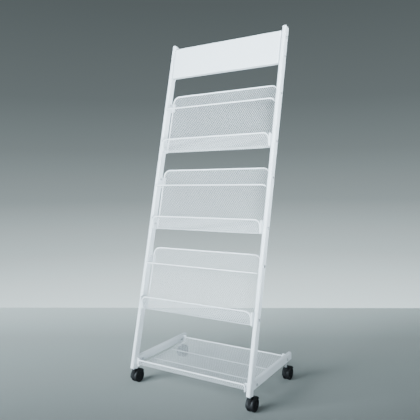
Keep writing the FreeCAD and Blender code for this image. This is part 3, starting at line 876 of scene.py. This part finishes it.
def build_screws(node):
    """Screws and nuts of one CAD node. A screw's head stands on a post's outer face."""
    face_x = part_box("right_post")[1].x
    bm = bmesh.new()
    for low, high in loose_parts(node):
        centre = (low + high) / 2
        side = 1 if centre.x > 0 else -1
        inner, outer = sorted((abs(low.x), abs(high.x)))
        if outer > face_x + SCREW_HEAD_HEIGHT / 2:
            seat = Vector((side * face_x, centre.y, centre.z))
            add_screw(bm, seat, side, (high.y - low.y) / 2, face_x - inner)
        else:
            add_nut(bm, low, high)
    clean(bm)
    piece = piece_from_bmesh(node.replace("bolts", "screws_and_nuts"), bm)
    smooth(piece, TURNED_EDGE)
    stand_for(piece, node)


for node_name in [n for n in nodes if n.endswith("bolts")]:
    build_screws(node_name)


# ---------------------------------------------------------------- casters


def wheel_outline(inner, outer, radius):
    """Half-section of a right-hand wheel, as (radius, distance from the caster's middle)."""
    shoulder = WHEEL_SHOULDER
    flank = radius - shoulder
    turn = quarter(WHEEL_SHOULDER_STEPS)
    tread = outer - inner - 2 * shoulder
    outline = [(r, outer - depth) for r, depth in WHEEL_FACE]
    for sine, cosine in turn:
        outline.append((flank + shoulder * sine, outer - shoulder + shoulder * cosine))
    for share in WHEEL_GROOVES:
        x = outer - shoulder - tread * share
        outline += [
            (radius, x + WHEEL_GROOVE),
            (radius - WHEEL_GROOVE, x + WHEEL_GROOVE / 2),
            (radius - WHEEL_GROOVE, x - WHEEL_GROOVE / 2),
            (radius, x - WHEEL_GROOVE),
        ]
    for sine, cosine in turn:
        outline.append((flank + shoulder * cosine, inner + shoulder - shoulder * sine))
    return outline + [(r, inner + depth) for r, depth in WHEEL_BACK]


def add_spoke(bm, centre, side, angle, outer):
    """Raised rib across a wheel's dish, narrower at its crest."""
    turn = Matrix.Rotation(angle, 3, "X")
    foot, foot_depth = SPOKE_FOOT
    crest, crest_depth = SPOKE_CREST
    foot_x = side * (outer - foot_depth)
    crest_x = side * (outer - crest_depth)
    rings = []
    for radius in SPOKE_ENDS:
        section = ((foot_x, -foot), (crest_x, -crest), (crest_x, crest), (foot_x, foot))
        places = [Vector(centre) + turn @ Vector((x, y, radius)) for x, y in section]
        rings.append([bm.verts.new(place) for place in places])
    first, second = rings
    ring_faces(bm, first, second)
    bm.faces.new(first[::-1])
    bm.faces.new(second)


def build_wheel(caster, name, side, centre):
    """One wheel of a caster."""
    node = f"{caster}_caster_wheel_{name}"
    low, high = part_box(node)
    inner, outer = sorted((abs(low.x - centre.x), abs(high.x - centre.x)))
    bm = bmesh.new()
    outline = wheel_outline(inner, outer, (high.z - low.z) / 2)
    lathe(bm, outline, centre, (side, 0, 0), (0, 0, 1))
    for number in range(WHEEL_SPOKES):
        add_spoke(bm, centre, side, 2 * math.pi * number / WHEEL_SPOKES, outer)
    clean(bm)
    piece = piece_from_bmesh(f"{caster}_wheel_{name}", bm)
    smooth(piece, TURNED_EDGE)
    stand_for(piece, node)


def add_fender(bm, centre, half_width):
    """Curved cover over both wheels, with the web between them inside it."""
    inner, outer = FENDER_INNER, FENDER_OUTER
    edge = [(inner, half_width)]
    edge += [(outer - below, half_width - inside) for below, inside in FENDER_EDGE]
    cover = [(radius, -x) for radius, x in edge] + edge[::-1]
    web = HOOD_WEB / 2
    spine_foot = HOOD_WEB_RADIUS - HOOD_WEB_OVERLAP
    spine_top = (inner + outer) / 2
    spine = [(spine_foot, -web), (spine_top, -web), (spine_top, web), (spine_foot, web)]
    sweep = FENDER_FRONT - FENDER_REAR
    for outline in (cover, spine):
        lathe(bm, outline, centre, (1, 0, 0), (0, 1, 0), start=FENDER_REAR, sweep=sweep)
    disc = [
        (AXLE_BORE, -web),
        (HOOD_WEB_RADIUS - HOOD_WEB_CHAMFER, -web),
        (HOOD_WEB_RADIUS, -web + HOOD_WEB_CHAMFER),
        (HOOD_WEB_RADIUS, web - HOOD_WEB_CHAMFER),
        (HOOD_WEB_RADIUS - HOOD_WEB_CHAMFER, web),
        (AXLE_BORE, web),
    ]
    lathe(bm, disc, centre, (1, 0, 0), (0, 1, 0))


def add_boss(bm, pivot, centre, top):
    """Upright socket for the stem. Its foot follows the fender."""
    crown = (FENDER_INNER + FENDER_OUTER) / 2
    straight = BOSS_RADIUS - BOSS_FILLET
    # Radius and height of each ring, the lowest with no height of its own
    levels = [(BOSS_RADIUS, None)]
    for sine, cosine in quarter(BOSS_FILLET_STEPS):
        levels.append((straight + BOSS_FILLET * cosine, top - BOSS_FILLET + BOSS_FILLET * sine))
    levels += [
        (STEM_BORE + STEM_CHAMFER, top),
        (STEM_BORE, top - STEM_CHAMFER),
        (STEM_BORE, top - STEM_DEPTH),
        (0, top - STEM_DEPTH),
    ]
    rings = []
    for radius, z in levels:
        ring = []
        for step in range(LATHE_STEPS):
            angle = 2 * math.pi * step / LATHE_STEPS
            x = pivot.x + radius * math.cos(angle)
            y = pivot.y + radius * math.sin(angle)
            reach = centre.y - y
            foot = centre.z + math.sqrt(max(crown ** 2 - reach ** 2, BOSS_FOOT ** 2))
            ring.append(bm.verts.new((x, y, foot if z is None else z)))
        rings.append(ring)
    for first, second in zip(rings, rings[1:]):
        ring_faces(bm, first, second)
    base = rings[0]
    middle = bm.verts.new((pivot.x, pivot.y, sum(v.co.z for v in base) / LATHE_STEPS))
    for index in range(LATHE_STEPS):
        bm.faces.new((base[(index + 1) % LATHE_STEPS], base[index], middle))


def build_caster(caster, joints):
    """Hood and wheels of one caster, about its own joints."""
    pivot = Vector(joints[caster + "_swivel"]["pos_m"])
    centre = Vector(joints[caster + "_wheel_left_spin"]["pos_m"])
    for name, side in SIDES.items():
        build_wheel(caster, name, side, centre)
    low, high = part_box(caster + "_caster_hood")
    bm = bmesh.new()
    add_fender(bm, centre, (high.x - low.x) / 2)
    add_boss(bm, pivot, centre, high.z)
    clean(bm)
    piece = piece_from_bmesh(caster + "_hood_shell", bm)
    smooth(piece, TURNED_EDGE)
    stand_for(piece, caster + "_caster_hood")


joint_table = {joint["name"]: joint for joint in frame["joints"]}
for end in ENDS:
    for side_name in SIDES:
        build_caster(f"{end}_{side_name}", joint_table)


# ---------------------------------------------------------------- CAD nodes that stay

for node_name, node_object in nodes.items():
    if not node_object.hide_render:
        paint(node_object, MATERIAL_OF_SLOT[SLOT_OF_NODE[node_name]])


# ---------------------------------------------------------------- stage

# Floor: how far it reaches, and how far behind the rack's middle its back edge lies
FLOOR_REACH = 30.0
FLOOR_BACK = 1.07
FLOOR_ROUGHNESS = 0.9
# Degrees that make up for the camera's roll, so that the floor's back edge looks level
FLOOR_TURN = -2.4
# Floor tone with painted light and shade, which also evens out the lights: a painted pool of light towards the
# back edge and a painted shadow in front of the rack. (metres behind the rack's middle, grey)
FLOOR_PAINTED_LIGHT_AND_SHADE = (
    (-2.6, 0.06),
    (-1.6, 0.18),
    (-0.9, 0.38),
    (-0.35, 0.19),
    (0.10, 0.34),
    (0.50, 0.48),
    (FLOOR_BACK, 0.94),
)
# Glow of the far floor, which the lights hardly reach: (metres from the rack, grey)
FLOOR_GLOW = ((0.0, 0.0), (2.2, 0.0), (4.2, 0.26), (FLOOR_REACH, 0.33))
# Backdrop: (degrees above the horizon, grey)
BACKDROP = (
    (-14.3, 1.40),
    (-11.5, 1.14),
    (-8.0, 0.76),
    (-2.0, 0.375),
    (3.8, 0.235),
    (9.5, 0.164),
    (19.7, 0.118),
)
BACKDROP_TINT = (0.86, 1.04, 1.07)
# Cool lights, and the tint that makes the floor match the backdrop under them
LIGHT_TINT = (0.85, 1.02, 1.12)
FLOOR_TINT = (0.98, 1.03, 0.98)
# Area lights: name, place, target, size in metres, power in watts and spread in degrees
MIDDLE = (0, 0, 0.65)
LIGHTS = (
    ("key", (-1.5, -3.2, 1.6), MIDDLE, 2.2, 335, 180),
    ("fill", (0.55, -2.6, 1.7), (0.15, 0, 1.10), 0.8, 6, 50),
    ("side", (2.2, -1.3, 0.6), (0.1, 0, 1.25), 0.8, 29, 60),
    ("back", (0.5, 2.6, 2.8), MIDDLE, 2.0, 14, 180),
)


def graded(tree, source, tones, tint):
    """Tinted greys along source, from (value, grey) pairs in rising order."""
    lowest = tones[0][0]
    highest = tones[-1][0]
    scale = tree.nodes.new("ShaderNodeMapRange")
    scale.inputs["From Min"].default_value = lowest
    scale.inputs["From Max"].default_value = highest
    tree.links.new(source, scale.inputs["Value"])
    ramp = tree.nodes.new("ShaderNodeValToRGB")
    tree.links.new(scale.outputs["Result"], ramp.inputs["Fac"])
    stops = ramp.color_ramp.elements
    for number, (value, grey) in enumerate(tones):
        position = (value - lowest) / (highest - lowest)
        stop = stops[number] if number < 2 else stops.new(position)
        stop.position = position
        stop.color = (*(grey * share for share in tint), 1)
    return ramp.outputs["Color"]


def add_floor():
    """Grey floor with painted light and shade: paler towards its back edge, which faces the camera, darker in a
    painted shadow in front of the rack, and glowing far off.
    """
    bm = bmesh.new()
    near, far, half = -FLOOR_REACH, FLOOR_BACK, FLOOR_REACH
    corners = [(-half, near, 0), (half, near, 0), (half, far, 0), (-half, far, 0)]
    bm.faces.new([bm.verts.new(corner) for corner in corners])
    floor = piece_from_bmesh("studio_floor", bm)
    floor.rotation_euler = (0, 0, math.radians(FLOOR_TURN - CAMERA_YAW))
    material, tree, principled = new_material("studio_floor")
    principled.inputs["Roughness"].default_value = FLOOR_ROUGHNESS
    principled.inputs["Emission Strength"].default_value = 1.0
    place = tree.nodes.new("ShaderNodeTexCoord")
    split = tree.nodes.new("ShaderNodeSeparateXYZ")
    tree.links.new(place.outputs["Object"], split.inputs["Vector"])
    # Painted light and shade: the floor's tone by distance behind the rack's middle
    tone = graded(tree, split.outputs["Y"], FLOOR_PAINTED_LIGHT_AND_SHADE, FLOOR_TINT)
    tree.links.new(tone, principled.inputs["Base Color"])
    distance = tree.nodes.new("ShaderNodeVectorMath")
    distance.operation = "LENGTH"
    tree.links.new(place.outputs["Object"], distance.inputs[0])
    glow = graded(tree, distance.outputs["Value"], FLOOR_GLOW, BACKDROP_TINT)
    tree.links.new(glow, principled.inputs["Emission Color"])
    paint(floor, material)


def add_light(name, place, target, size, power, spread):
    """Square area light aimed at a point."""
    data = bpy.data.lights.new(name, "AREA")
    data.shape = "SQUARE"
    data.size = size
    data.energy = power
    data.spread = math.radians(spread)
    data.color = LIGHT_TINT
    light = new_object(name, data)
    light.location = place
    light.rotation_euler = (Vector(target) - Vector(place)).to_track_quat("-Z", "Y").to_euler()


def add_world():
    """Backdrop that fades from pale below the horizon to dark grey above."""
    world = bpy.data.worlds.new("studio")
    bpy.context.scene.world = world
    world.use_nodes = True
    tree = world.node_tree
    place = tree.nodes.new("ShaderNodeTexCoord")
    split = tree.nodes.new("ShaderNodeSeparateXYZ")
    tree.links.new(place.outputs["Generated"], split.inputs["Vector"])
    tones = [(math.sin(math.radians(degrees)), grey) for degrees, grey in BACKDROP]
    tone = graded(tree, split.outputs["Z"], tones, BACKDROP_TINT)
    tree.links.new(tone, tree.nodes["Background"].inputs["Color"])


def add_camera():
    """Camera turned by its yaw from the view along +Y, then pitched down and rolled."""
    yaw = math.radians(CAMERA_YAW)
    pitch = math.radians(CAMERA_PITCH)
    roll = Matrix.Rotation(math.radians(CAMERA_ROLL), 3, "Z")
    flat = math.cos(pitch)
    ahead = Vector((math.sin(yaw) * flat, math.cos(yaw) * flat, -math.sin(pitch)))
    right = Vector((math.cos(yaw), -math.sin(yaw), 0))
    level = Matrix((right, right.cross(ahead), -ahead)).transposed()
    data = bpy.data.cameras.new("camera")
    data.lens = CAMERA_LENS
    data.sensor_width = CAMERA_SENSOR
    camera = new_object("camera", data)
    camera.matrix_world = Matrix.Translation(CAMERA_PLACE) @ (level @ roll).to_4x4()
    bpy.context.scene.camera = camera


add_floor()
add_world()
for light_settings in LIGHTS:
    add_light(*light_settings)
add_camera()
